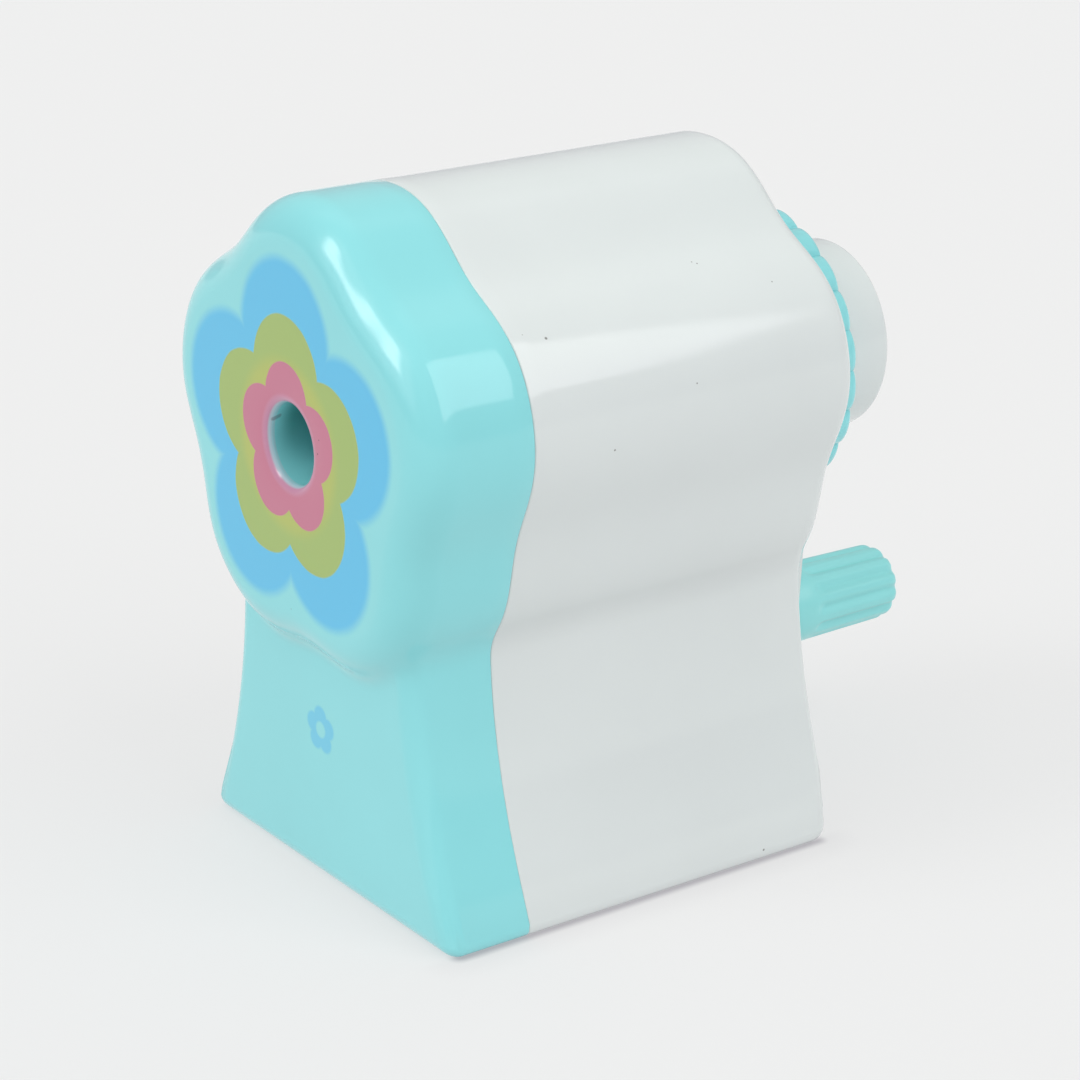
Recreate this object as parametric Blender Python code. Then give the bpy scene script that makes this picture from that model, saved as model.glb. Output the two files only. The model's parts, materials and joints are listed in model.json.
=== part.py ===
"""Hand-crank pencil sharpener with a flower-shaped head.

The crank axis runs along Y at height AXIS_Z. The front face looks towards -Y, and the origin is the
centre of the base on the surface it stands on. Lengths are in millimetres, and become metres in add().
"""
import math

import bmesh
import bpy

MM = 0.001
GAP = 0.3

# Body shells
AXIS_Z = 52.15
HEAD_R = 25.4
PETAL = 1.36
PETAL_SHARP = 0.19
NECK_HALF = 17.8
FLARE = 8.07
FLARE_TOP = 31.8
FLARE_POWER = 1.84
CORNER = 2.4
CREASE = 0.6
WALL = 2.0
FACE_Y = -30.0
HEAD_ROUND = 4.75
FRONT_Y = -26.8
FRONT_ROUND = 2.6
FOOT_ROUND = 2.0
SEAM_Y = -16.4
REAR_Y = 26.85
REAR_ROUND = 2.0
REAR_EDGE_ROUND = 1.0
REAR_FOOT_ROUND = 3.0
LIP_Y = -19.6
LIP_IN = 3.4

# Pencil hole and front bearing
HOLE_R = 4.48
HOLE_RIM = 0.8
NOSE_R = 6.6
NOSE_Y = -24.1
SOCKET_R = 8.6
SOCKET_WALL = 1.8
SOCKET_END = -19.5
SOCKET_FLOOR = -24.4

# Twist lock between the unit and the rear wall
OPENING_R = 14.3
NOTCH_REACH = 15.7
NOTCH_HALF = 3.4
SLEEVE_R = 14.0
LUG_REACH = 15.2
LUG_HALF = 3.0
LUG_FRONT = 22.6
LUG_REAR = 24.5
KEY_HALF = 2.7
POST_INNER = 14.9
POST_BAR = 16.2
POST_OUTER = 18.2
POST_THICK = 2.0
KEY_FRONT = 14.2
KEY_REAR = 17.8

# Gears: both taper towards one apex, because the cutter's axis is tilted
TILT = math.radians(11.0)
RING_TEETH = 22
PINION_TEETH = 12
GEAR_Y = 16.0
OFFSET = 4.0
ADDENDUM = 0.62
RING_FRONT = 15.6
RING_REAR = 18.8

# Cutting unit
PLATE_R = 13.4
PLATE_FRONT = -15.2
PLATE_REAR = -12.6
BARREL_R = 8.6
WAIST_R = 6.9
CUTTER_R = 4.5
CUTTER_FRONT = -27.5
CUTTER_REAR = -1.6
FLUTES = 12
FLUTE_DEPTH = 0.7
FLUTE_TWIST = math.radians(170.0)
PINION_HALF = 1.3
PINION_BORE = 1.5
SLOT_HALF = 6.0
PIN_R = 1.2
SHAFT_R = 2.5
SHAFT_FLAT = 2.0
THREAD_R = 1.1
SEAT_R = 12.4
SEAT_BORE = 11.2
SEAT_FRONT = 13.8
SEAT_FLOOR = 28.4
SEAT_REAR = 30.4
BOSS_R = 5.5
BOSS_REAR = 31.8
RING_OUTER = 10.9

# Grip ring and crank
BAND_R = 16.95
BAND_LOBE = 0.3
LOBES = 22
LOBE_TURN = math.radians(11.2)
BAND_FRONT = 27.2
BAND_REAR = 34.9
HUB_R = 11.3
HUB_SPIGOT = 33.0
HUB_FRONT = 35.2
HUB_REAR = 44.8
CAP_R = 8.0
CAP_SEAT = 43.1
SCREW_SEAT = 41.3
SHAFT_END = 39.6
ARM_REAR = 37.2
ARM_RIB_TOP = -18.4
ARM_TOP_HALF = 7.6
KNOB_Z = 18.43
ARM_END_R = 5.2
KNOB_R = 4.85
KNOB_FRONT = 37.5
KNOB_REAR = 54.35
KNOB_FLUTES = 12
KNOB_GROOVE = 0.4
KNOB_TURN = math.radians(5.3)

COLOURS = {
    "aqua": ((0.31, 0.74, 0.76), 0.28, 0.0),
    "white": ((0.80, 0.83, 0.83), 0.25, 0.0),
    "steel": ((0.62, 0.63, 0.65), 0.25, 1.0),
    "nylon": ((0.86, 0.85, 0.80), 0.45, 0.0),
}


# ---------------------------------------------------------------- tools

def clear_scene():
    for item in list(bpy.data.objects):
        bpy.data.objects.remove(item)


def finish_for(name):
    material = bpy.data.materials.new(name)
    material.use_nodes = True
    shader = material.node_tree.nodes["Principled BSDF"]
    colour, roughness, metallic = COLOURS[name.split(".")[0]]
    shader.inputs["Base Color"].default_value = (*colour, 1.0)
    shader.inputs["Roughness"].default_value = roughness
    shader.inputs["Metallic"].default_value = metallic
    return material


def axis_empty(name, y, z, tilt=0.0, parent=None):
    """An empty on a joint's axis; its local Y is the axis."""
    empty = bpy.data.objects.new(name, None)
    bpy.context.collection.objects.link(empty)
    empty.location = (0.0, y * MM, z * MM)
    empty.rotation_euler = (tilt, 0.0, 0.0)
    empty.parent = parent
    return empty


def add(name, bm, colour, parent=None):
    """Turn a bmesh in millimetres into an object in metres."""
    bmesh.ops.scale(bm, vec=(MM, MM, MM), verts=bm.verts)
    mesh = bpy.data.meshes.new(name)
    bm.to_mesh(mesh)
    bm.free()
    mesh.shade_smooth()
    mesh.set_sharp_from_angle(angle=math.radians(35.0))
    mesh.materials.append(finish_for(colour + "." + name))
    item = bpy.data.objects.new(name, mesh)
    bpy.context.collection.objects.link(item)
    item.parent = parent
    return item


def shape(target, name, bm, operation, parent=None):
    """Cut a hidden helper out of the target, or join it on."""
    helper = add(name, bm, "steel", parent)
    helper.hide_render = True
    helper.display_type = "WIRE"
    modifier = target.modifiers.new(name, "BOOLEAN")
    modifier.operation = operation
    modifier.solver = "EXACT"
    modifier.object = helper


def loft(rings, wrap=False):
    """A closed body through rings of equal count; wrapped, the last ring joins the first."""
    bm = bmesh.new()
    rows = [[bm.verts.new(point) for point in ring] for ring in rings]
    pairs = list(zip(rows, rows[1:]))
    if wrap:
        pairs.append((rows[-1], rows[0]))
    else:
        bm.faces.new(rows[0])
        bm.faces.new(rows[-1])
    for low, high in pairs:
        for index in range(len(low)):
            after = (index + 1) % len(low)
            bm.faces.new((low[index], low[after], high[after], high[index]))
    bmesh.ops.remove_doubles(bm, verts=bm.verts, dist=0.0001)
    bmesh.ops.recalc_face_normals(bm, faces=bm.faces)
    return bm


def circle(radius, y, count, flat=None):
    """A ring round the Y axis; flat clips it to a D at that height."""
    ring = []
    for index in range(count):
        angle = math.tau * index / count
        x = radius * math.cos(angle)
        z = radius * math.sin(angle)
        if flat is not None:
            z = min(z, flat)
        ring.append((x, y, z))
    return ring


def turned(profile, count=32, wrap=True):
    """A body of revolution about Y from (radius, y) points."""
    return loft([circle(radius, y, count) for radius, y in profile], wrap)


def prism(outline, front, rear):
    """An (x, z) outline extruded along Y."""
    return loft([[(x, y, z) for x, z in outline] for y in (front, rear)])


def arc(x, z, radius, start, stop, steps):
    """Points of an arc, angles in degrees."""
    points = []
    for index in range(steps + 1):
        angle = math.radians(start + (stop - start) * index / steps)
        points.append((x + radius * math.cos(angle), z + radius * math.sin(angle)))
    return points


# ---------------------------------------------------------------- body outline

def outline_angles():
    """Directions round the crank axis, closer together where the base's corners are rounded."""
    under = math.degrees(math.atan2(NECK_HALF + FLARE - 1.4 * CORNER, AXIS_Z))
    beside = math.degrees(math.atan2(NECK_HALF + FLARE, AXIS_Z - 1.2 * CORNER))
    spans = [(-30, 210, 48), (210, 270 - beside, 10), (270 - beside, 270 - under, 6),
             (270 - under, 270 + under, 4), (270 + under, 270 + beside, 6), (270 + beside, 330, 10)]
    angles = []
    for start, stop, steps in spans:
        for index in range(steps):
            angles.append(math.radians(start + (stop - start) * index / steps))
    return angles


ANGLES = outline_angles()


def flower_radius(angle, inset):
    turn = angle - math.pi / 2
    radius = HEAD_R + PETAL * math.cos(5 * turn) - PETAL_SHARP * math.cos(10 * turn)
    slope = -5 * PETAL * math.sin(5 * turn) + 10 * PETAL_SHARP * math.sin(10 * turn)
    return radius - inset * math.hypot(radius, slope) / radius


def inside_base(x, z, inset, lift):
    rise = max(0.0, (FLARE_TOP - z) / FLARE_TOP)
    half = NECK_HALF + FLARE * rise ** FLARE_POWER
    slope = FLARE * FLARE_POWER * rise ** (FLARE_POWER - 1) / FLARE_TOP
    corner = max(CORNER - lift, GAP)
    across = x - half + inset * math.hypot(1.0, slope) + corner
    down = lift - z + corner
    if across > 0 and down > 0:
        return math.hypot(across, down) <= corner
    return max(across, down) <= corner


def base_radius(angle, inset, lift):
    """Distance from the crank axis to the flared base's outline, found by halving along the ray."""
    if math.sin(angle) >= 0:
        return NECK_HALF - inset
    low, high = 0.0, 2 * AXIS_Z
    for _ in range(32):
        middle = (low + high) / 2
        x = abs(middle * math.cos(angle))
        z = AXIS_Z + middle * math.sin(angle)
        if inside_base(x, z, inset, lift):
            low = middle
        else:
            high = middle
    return low


def edge_inset(radius, depth):
    """How far a rounded edge stands in from the side wall, at a depth behind the face."""
    reach = max(radius - depth, 0.0)
    return radius - math.sqrt(radius * radius - reach * reach)


def body_ring(y, head_inset, base_inset=None, base_lift=None):
    """The flower alone, or the flower and base together with a soft crease between them.

    base_lift is the inset of the underside, where it differs from the sides'.
    """
    lift = base_inset if base_lift is None else base_lift
    ring = []
    for angle in ANGLES:
        radius = flower_radius(angle, head_inset)
        if base_inset is not None:
            other = base_radius(angle, base_inset, lift)
            blend = max(CREASE - abs(radius - other), 0.0)
            radius = max(radius, other) + blend * blend / (4 * CREASE)
        ring.append((radius * math.cos(angle), y, AXIS_Z + radius * math.sin(angle)))
    return ring


def hole_ring(radius, y):
    return [(radius * math.cos(angle), y, AXIS_Z + radius * math.sin(angle)) for angle in ANGLES]


# ---------------------------------------------------------------- shells

def make_front_shell():
    rings = [hole_ring(HOLE_R, FACE_Y + HOLE_RIM),
             hole_ring(HOLE_R + 0.3 * HOLE_RIM, FACE_Y + 0.3 * HOLE_RIM),
             hole_ring(HOLE_R + HOLE_RIM, FACE_Y)]
    step = FRONT_Y - FACE_Y
    for part in (0.0, 0.08, 0.35, 1.0):
        rings.append(body_ring(FACE_Y + step * part, edge_inset(HEAD_ROUND, step * part)))
    for depth in (0.0, 0.2 * FRONT_ROUND, 0.5 * FRONT_ROUND, FRONT_ROUND):
        rings.append(body_ring(FRONT_Y + depth, edge_inset(HEAD_ROUND, step + depth),
                               edge_inset(FRONT_ROUND, depth), edge_inset(FOOT_ROUND, depth)))
    rings.append(body_ring(SEAM_Y, 0.0, 0.0))
    rings.append(body_ring(SEAM_Y, WALL, WALL))
    rings.append(body_ring(FRONT_Y + WALL, WALL, WALL))
    rings.append(body_ring(FRONT_Y + WALL, WALL + 1.0))
    rings.append(body_ring(FACE_Y + WALL, HEAD_ROUND))
    tube = SOCKET_R + SOCKET_WALL
    rings += [hole_ring(tube, FACE_Y + WALL), hole_ring(tube, SOCKET_END), hole_ring(SOCKET_R, SOCKET_END),
              hole_ring(SOCKET_R, SOCKET_FLOOR), hole_ring(HOLE_R, SOCKET_FLOOR)]
    add("front_shell", loft(rings, wrap=True), "aqua")


def tabbed(radius, reach, half, y, steps=9):
    """A ring with three square tabs that reach further out; reach equal to radius leaves it round."""
    edge = math.degrees(math.asin(half / radius))
    ring = []
    for middle in (90, 210, 330):
        ring += arc(0, 0, radius, middle + edge - 120, middle - edge, steps)
        if reach == radius:
            ring += [ring[-1], ring[-1]]
            continue
        turn = math.radians(middle)
        for side in (-half, half):
            ring.append((reach * math.cos(turn) - side * math.sin(turn),
                         reach * math.sin(turn) + side * math.cos(turn)))
    return [(x, y, z) for x, z in ring]


def key_posts():
    """Pairs of ribs on the rear wall; their teeth stop the gear seat's three keys from turning."""
    bm = bmesh.new()
    profile = [(POST_INNER, KEY_FRONT - GAP), (POST_OUTER, KEY_FRONT - GAP),
               (POST_OUTER, REAR_Y - WALL + GAP),
               (POST_BAR, REAR_Y - WALL + GAP), (POST_BAR, KEY_REAR + GAP), (POST_INNER, KEY_REAR + GAP)]
    for middle in (90, 210, 330):
        turn = math.radians(middle)
        for side in (-1, 1):
            near = side * (KEY_HALF + GAP)
            far = side * (KEY_HALF + GAP + POST_THICK)
            rows = []
            for across in (near, far):
                rows.append([bm.verts.new((reach * math.cos(turn) - across * math.sin(turn), y,
                                           reach * math.sin(turn) + across * math.cos(turn)))
                             for reach, y in profile])
            bm.faces.new(rows[0])
            bm.faces.new(rows[1])
            for index in range(len(profile)):
                after = (index + 1) % len(profile)
                bm.faces.new((rows[0][index], rows[0][after], rows[1][after], rows[1][index]))
    bmesh.ops.recalc_face_normals(bm, faces=bm.faces)
    return bm


def make_rear_shell(crank_axis):
    seam = SEAM_Y + GAP
    rings = [body_ring(REAR_Y - WALL, WALL, WALL), body_ring(SEAM_Y + 5.0, WALL, WALL),
             body_ring(SEAM_Y + 3.0, LIP_IN, LIP_IN), body_ring(LIP_Y, LIP_IN, LIP_IN),
             body_ring(LIP_Y, WALL + GAP, WALL + GAP), body_ring(seam, WALL + GAP, WALL + GAP),
             body_ring(seam, 0.0, 0.0)]
    for depth in (REAR_FOOT_ROUND, REAR_ROUND, 0.5 * REAR_ROUND, 0.15 * REAR_ROUND, 0.0):
        rings.append(body_ring(REAR_Y - depth, edge_inset(REAR_ROUND, depth),
                               edge_inset(REAR_EDGE_ROUND, depth), edge_inset(REAR_FOOT_ROUND, depth)))
    shell = add("rear_shell", loft(rings), "white")
    opening = loft([tabbed(OPENING_R, NOTCH_REACH, NOTCH_HALF, y)
                    for y in (REAR_Y - 2 * WALL, REAR_Y + WALL)])
    shape(shell, "opening_cut", opening, "DIFFERENCE", crank_axis)
    shape(shell, "post_join", key_posts(), "UNION", crank_axis)


# ---------------------------------------------------------------- gears

def gear_ring(teeth, root, tip, y, root_part, tip_part):
    """Four points a tooth; root_part and tip_part are half widths as parts of the pitch."""
    pitch = math.tau / teeth
    ring = []
    for index in range(teeth):
        middle = math.pi / 2 + index * pitch
        for radius, part in ((root, -root_part), (tip, -tip_part), (tip, tip_part), (root, root_part)):
            angle = middle + part * pitch
            ring.append((radius * math.cos(angle), y, radius * math.sin(angle)))
    return ring


APEX = OFFSET / math.tan(TILT)
RATIO = RING_TEETH / PINION_TEETH
RING_CONE = math.atan2(math.sin(TILT), math.cos(TILT) - 1 / RATIO)
RING_PITCH_R = APEX * math.tan(RING_CONE)
PINION_REACH = APEX / math.cos(TILT)
PINION_PITCH_R = PINION_REACH * math.tan(RING_CONE - TILT)


def make_gear_seat(crank_axis):
    """The cup that holds the ring gear, with three keys round its mouth."""
    steps = 12
    rings = []
    for reach, y in ((SEAT_R, SEAT_FRONT), (SEAT_R, KEY_FRONT),
                     (LUG_REACH, KEY_FRONT), (LUG_REACH, KEY_REAR),
                     (SEAT_R, KEY_REAR), (SEAT_R, SEAT_REAR)):
        rings.append(tabbed(SEAT_R, reach, KEY_HALF, y, steps))
    for radius, y in ((BOSS_R, SEAT_REAR), (BOSS_R, BOSS_REAR), (SHAFT_R + GAP, BOSS_REAR),
                      (SHAFT_R + GAP, SEAT_FLOOR), (SEAT_BORE, SEAT_FLOOR), (SEAT_BORE, SEAT_FRONT)):
        rings.append(tabbed(radius, radius, KEY_HALF * radius / SEAT_R, y, steps))
    add("gear_seat", loft(rings, wrap=True), "nylon", crank_axis)


def make_ring_gear(crank_axis):
    outside = []
    inside = []
    for y in (RING_FRONT, RING_REAR):
        scale = (APEX + GEAR_Y - y) / APEX
        root = (RING_PITCH_R + 1.0) * scale
        tip = (RING_PITCH_R - ADDENDUM) * scale
        inside.append(gear_ring(RING_TEETH, tip, root, y, 0.37, 0.24))
        outside.append(gear_ring(RING_TEETH, RING_OUTER, RING_OUTER, y, 0.37, 0.24))
    add("ring_gear", loft(inside + outside[::-1], wrap=True), "nylon", crank_axis)


def make_pinion(cutter_axis):
    rings = []
    for y in (-PINION_HALF, PINION_HALF):
        scale = (PINION_REACH - y) / PINION_REACH
        root = (PINION_PITCH_R - 0.95) * scale
        tip = (PINION_PITCH_R + ADDENDUM) * scale
        rings.append(gear_ring(PINION_TEETH, root, tip, y, 0.30, 0.12))
    bore = [gear_ring(PINION_TEETH, PINION_BORE, PINION_BORE, y, 0.375, 0.125)
            for y in (PINION_HALF, -PINION_HALF)]
    add("cutter_pinion", loft(rings + bore, wrap=True), "nylon", cutter_axis)


# ---------------------------------------------------------------- cutting unit

def make_carrier(crank_axis, cutter_axis):
    profile = [(0.9, 13.5), (0.9, 11.0), (4.4, -7.0), (4.4, NOSE_Y), (NOSE_R, NOSE_Y), (NOSE_R, PLATE_FRONT),
               (PLATE_R, PLATE_FRONT), (PLATE_R, PLATE_REAR), (BARREL_R, PLATE_REAR), (BARREL_R, 11.6),
               (WAIST_R, 12.6), (WAIST_R, 21.3), (5.5, 21.3), (5.5, 27.2), (SHAFT_R + GAP, 27.2),
               (SHAFT_R + GAP, 22.5)]
    carrier = add("cutter_carrier", turned(profile, 36, wrap=False), "aqua", crank_axis)
    top = 14.0
    window = [(SLOT_HALF, top)] + arc(0, 0, SLOT_HALF, 0, -180, 10) + [(-SLOT_HALF, top)]
    shape(carrier, "window_cut", prism(window, CUTTER_FRONT - GAP, PINION_HALF + GAP), "DIFFERENCE",
          cutter_axis)
    hole = turned([(PIN_R + GAP, -36.0), (PIN_R + GAP, 4.2)], 16, wrap=False)
    shape(carrier, "pin_hole_cut", hole, "DIFFERENCE", cutter_axis)
    shape(carrier, "cross_hole_cut", cross_rod(1.3, 7.0), "DIFFERENCE", crank_axis)


def cross_rod(radius, half_length):
    """A rod along X through the carrier's hub and the shaft."""
    ring = [(radius * math.cos(math.tau * index / 14), radius * math.sin(math.tau * index / 14))
            for index in range(14)]
    return loft([[(x, 24.9 + a, b) for a, b in ring] for x in (-half_length, half_length)])


def make_cutter(cutter_axis):
    shape_points = [(0.0, 0.0), (0.12, 0.25), (0.34, 1.0), (0.72, 0.95)]
    rings = []
    steps = 11
    for step in range(steps + 1):
        y = CUTTER_FRONT + (CUTTER_REAR - CUTTER_FRONT) * step / steps
        ring = []
        for flute in range(FLUTES):
            for part, depth in shape_points:
                angle = math.tau * (flute + part) / FLUTES + FLUTE_TWIST * step / steps
                radius = CUTTER_R - depth * FLUTE_DEPTH
                ring.append((radius * math.cos(angle), y, radius * math.sin(angle)))
        rings.append(ring)
    cutter = add("helical_cutter", loft(rings), "steel", cutter_axis)
    bore = turned([(PIN_R + GAP, CUTTER_FRONT - 1.0), (PIN_R + GAP, CUTTER_REAR + 1.0)], 16, wrap=False)
    shape(cutter, "cutter_bore_cut", bore, "DIFFERENCE", cutter_axis)


def make_pin_and_clip(cutter_axis):
    groove_r = 0.8
    pin = [(PIN_R, 3.9), (PIN_R, -32.6), (groove_r, -32.6), (groove_r, -33.5), (PIN_R, -33.5), (PIN_R, -34.2)]
    add("cutter_pin", turned(pin, 16, wrap=False), "steel", cutter_axis)
    outline = arc(0, 0, 2.6, -50, 230, 16) + arc(0, 0, groove_r + GAP, 230, -50, 16)
    add("pin_clip", prism(outline, -33.3, -32.8), "steel", cutter_axis)


def make_shaft(crank_axis):
    count = 24
    rings = [circle(SHAFT_R, 22.8, count), circle(SHAFT_R, HUB_SPIGOT - GAP, count),
             circle(SHAFT_R, HUB_SPIGOT - GAP, count, SHAFT_FLAT),
             circle(SHAFT_R, SHAFT_END, count, SHAFT_FLAT),
             circle(THREAD_R + GAP, SHAFT_END, count), circle(THREAD_R + GAP, 33.4, count)]
    shaft = add("drive_shaft", loft(rings), "steel", crank_axis)
    shape(shaft, "shaft_hole_cut", cross_rod(1.3, 4.0), "DIFFERENCE", crank_axis)
    add("shaft_pin", cross_rod(1.0, 5.2), "steel", crank_axis)


def ring_body(name, inner, outer, front, rear, colour, parent, count=28):
    add(name, turned([(inner, front), (outer, front), (outer, rear), (inner, rear)], count), colour, parent)


# ---------------------------------------------------------------- grip ring and crank

def lobed_ring(inset, y):
    ring = []
    count = 4 * LOBES
    for index in range(count):
        angle = math.tau * index / count + LOBE_TURN
        radius = BAND_R + BAND_LOBE * math.cos(math.tau * index * LOBES / count) - inset
        ring.append((radius * math.cos(angle), y, radius * math.sin(angle)))
    return ring


def make_lock_ring(crank_axis):
    stations = [(0.4, BAND_FRONT), (0.0, BAND_FRONT + 0.4), (0.0, BAND_REAR - 0.9), (0.3, BAND_REAR - 0.25),
                (1.0, BAND_REAR)]
    band = add("lock_ring", loft([lobed_ring(inset, y) for inset, y in stations]), "aqua", crank_axis)
    sleeve = [tabbed(SLEEVE_R, SLEEVE_R, LUG_HALF, y) for y in (18.9, LUG_FRONT)]
    sleeve += [tabbed(SLEEVE_R, LUG_REACH, LUG_HALF, y) for y in (LUG_FRONT, LUG_REAR)]
    sleeve += [tabbed(SLEEVE_R, SLEEVE_R, LUG_HALF, y) for y in (LUG_REAR, BAND_FRONT + 1.0)]
    shape(band, "sleeve_join", loft(sleeve), "UNION", crank_axis)
    inside = [(SEAT_R + GAP, 18.0), (SEAT_R + GAP, 32.9), (9.2, 32.9), (9.2, BAND_REAR + 1.0)]
    shape(band, "ring_inside_cut", turned(inside, 48, wrap=False), "DIFFERENCE", crank_axis)


def arm_outline(top):
    """The arm from a level chord at height top down to its round end, relative to the crank axis."""
    drop = AXIS_Z - KNOB_Z
    slope = (ARM_TOP_HALF - ARM_END_R) / drop
    half = ARM_END_R + slope * (drop + top)
    return [(half, top)] + arc(0, -drop, ARM_END_R, 0, -180, 12) + [(-half, top)]


def make_crank(crank_axis, knob_axis):
    count = 44
    bore = SHAFT_R + GAP
    flat = SHAFT_FLAT + GAP
    bore_end = SHAFT_END + GAP
    rings = [circle(bore, HUB_SPIGOT, count, flat), circle(bore, bore_end, count, flat)]
    for radius, y in ((THREAD_R + GAP, bore_end), (THREAD_R + GAP, SCREW_SEAT), (5.0, SCREW_SEAT),
                      (5.0, CAP_SEAT), (CAP_R + GAP, CAP_SEAT), (CAP_R + GAP, HUB_REAR),
                      (HUB_R - 1.0, HUB_REAR), (HUB_R - 0.3, HUB_REAR - 0.3), (HUB_R, HUB_REAR - 1.0),
                      (HUB_R, HUB_FRONT), (8.8, HUB_FRONT), (8.8, HUB_SPIGOT)):
        rings.append(circle(radius, y, count))
    crank = add("crank_arm", loft(rings, wrap=True), "white", crank_axis)
    shape(crank, "arm_join", prism(arm_outline(-4.5), HUB_FRONT + 0.1, ARM_REAR), "UNION", crank_axis)
    shape(crank, "arm_rib_join", prism(arm_outline(ARM_RIB_TOP), 32.5, ARM_REAR - 0.1), "UNION", crank_axis)
    hole = turned([(1.9, 30.0), (1.9, 40.0)], 20, wrap=False)
    shape(crank, "handle_hole_cut", hole, "DIFFERENCE", knob_axis)

    washer = SCREW_SEAT + GAP
    ring_body("screw_washer", THREAD_R + GAP, 4.2, washer, washer + 0.4, "steel", crank_axis)
    head = washer + 0.4 + GAP
    screw = [(THREAD_R, 34.2), (THREAD_R, head), (2.6, head), (2.4, head + 0.6), (1.6, head + 0.8)]
    add("crank_screw", turned(screw, 20, wrap=False), "steel", crank_axis)
    cap = [(CAP_R, CAP_SEAT + GAP), (CAP_R, HUB_REAR - 0.4), (CAP_R - 0.4, HUB_REAR)]
    add("hub_cap", turned(cap, 44, wrap=False), "white", crank_axis)


def grip_ring(radius, groove, y):
    """A fluted ring: broad rounded ridges between narrower grooves."""
    ring = []
    for flute in range(KNOB_FLUTES):
        for part, depth in ((0.0, 1.0), (0.25, 0.35), (0.5, 0.0), (0.75, 0.35)):
            angle = math.tau * (flute + part) / KNOB_FLUTES + KNOB_TURN
            reach = radius - groove * depth
            ring.append((reach * math.cos(angle), y, reach * math.sin(angle)))
    return ring


def make_handle(knob_axis, crank_axis_pin):
    outside = [(KNOB_R - 0.4, 0.0, KNOB_FRONT), (KNOB_R, 0.0, KNOB_FRONT + 0.4), (KNOB_R, 0.0, 41.0),
               (KNOB_R - 0.05, KNOB_GROOVE, 42.3), (KNOB_R - 0.2, KNOB_GROOVE, KNOB_REAR - 1.5),
               (KNOB_R - 0.6, 0.8 * KNOB_GROOVE, KNOB_REAR - 0.5), (KNOB_R - 1.4, 0.2, KNOB_REAR)]
    rings = [grip_ring(radius, groove, y) for radius, groove, y in outside]
    rings += [grip_ring(radius, 0.0, y) for radius, y in ((3.1, KNOB_REAR), (3.1, 51.2), (1.9, 51.2),
                                                          (1.9, KNOB_FRONT))]
    add("handle_grip", loft(rings, wrap=True), "aqua", knob_axis)
    pin = [(3.0, 31.6), (3.0, 32.2), (1.6, 32.2), (1.6, 51.5), (2.8, 51.5), (2.8, 52.4), (2.0, 52.9)]
    add("handle_pin", turned(pin, 20, wrap=False), "steel", crank_axis_pin)


def main():
    clear_scene()
    crank_axis = axis_empty("crank_axis", 0.0, AXIS_Z)
    cutter_axis = axis_empty("cutter_axis", GEAR_Y, OFFSET, -TILT, crank_axis)
    knob_axis = axis_empty("knob_axis", 0.0, KNOB_Z - AXIS_Z, 0.0, crank_axis)

    make_front_shell()
    make_rear_shell(crank_axis)
    ring_body("front_bush", NOSE_R + GAP, SOCKET_R - GAP, SOCKET_FLOOR + GAP, SOCKET_END - GAP, "aqua",
              crank_axis)
    make_gear_seat(crank_axis)
    make_ring_gear(crank_axis)
    make_carrier(crank_axis, cutter_axis)
    make_cutter(cutter_axis)
    make_pinion(cutter_axis)
    make_pin_and_clip(cutter_axis)
    make_shaft(crank_axis)
    ring_body("thrust_washer", SHAFT_R + GAP, 6.0, 27.5, 28.1, "steel", crank_axis)
    ring_body("rear_washer", SHAFT_R + GAP, 5.0, 32.1, 32.7, "steel", crank_axis)
    make_lock_ring(crank_axis)
    make_crank(crank_axis, knob_axis)
    make_handle(knob_axis, knob_axis)


main()
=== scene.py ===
"""The looks of a hand-crank pencil sharpener with a flower face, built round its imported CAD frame.

Mesh code works in millimetres in the frame's own axes: X right, Y from the flower face to the crank,
Z up. Pieces become metres in make_piece(). The crank axis runs along Y at height AXIS_Z.
"""
import json
import math

import bmesh
import bpy
import numpy as np
from mathutils import Matrix, Vector


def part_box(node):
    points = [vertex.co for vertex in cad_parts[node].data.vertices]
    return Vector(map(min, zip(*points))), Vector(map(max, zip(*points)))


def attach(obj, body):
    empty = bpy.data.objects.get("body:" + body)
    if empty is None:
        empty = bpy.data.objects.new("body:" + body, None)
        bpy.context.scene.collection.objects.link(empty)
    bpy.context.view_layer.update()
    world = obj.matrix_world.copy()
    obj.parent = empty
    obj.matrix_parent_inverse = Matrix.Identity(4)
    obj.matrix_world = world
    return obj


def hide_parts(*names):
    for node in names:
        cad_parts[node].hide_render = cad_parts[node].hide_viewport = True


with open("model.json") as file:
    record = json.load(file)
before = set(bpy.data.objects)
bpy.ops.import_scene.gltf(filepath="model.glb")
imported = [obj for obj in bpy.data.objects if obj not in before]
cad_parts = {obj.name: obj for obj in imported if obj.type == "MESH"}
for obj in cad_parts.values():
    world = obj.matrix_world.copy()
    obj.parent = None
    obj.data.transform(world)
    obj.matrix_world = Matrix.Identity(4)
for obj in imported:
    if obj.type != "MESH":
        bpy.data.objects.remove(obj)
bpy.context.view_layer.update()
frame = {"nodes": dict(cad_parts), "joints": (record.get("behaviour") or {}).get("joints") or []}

MM = 0.001


def low(node, axis):
    """A CAD node's lowest coordinate along an axis, in millimetres."""
    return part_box(node)[0][axis] / MM


def high(node, axis):
    """A CAD node's highest coordinate along an axis, in millimetres."""
    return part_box(node)[1][axis] / MM


def middle(node, axis):
    return (low(node, axis) + high(node, axis)) / 2


# ---------------------------------------------------------------- sizes read from the frame

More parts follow.
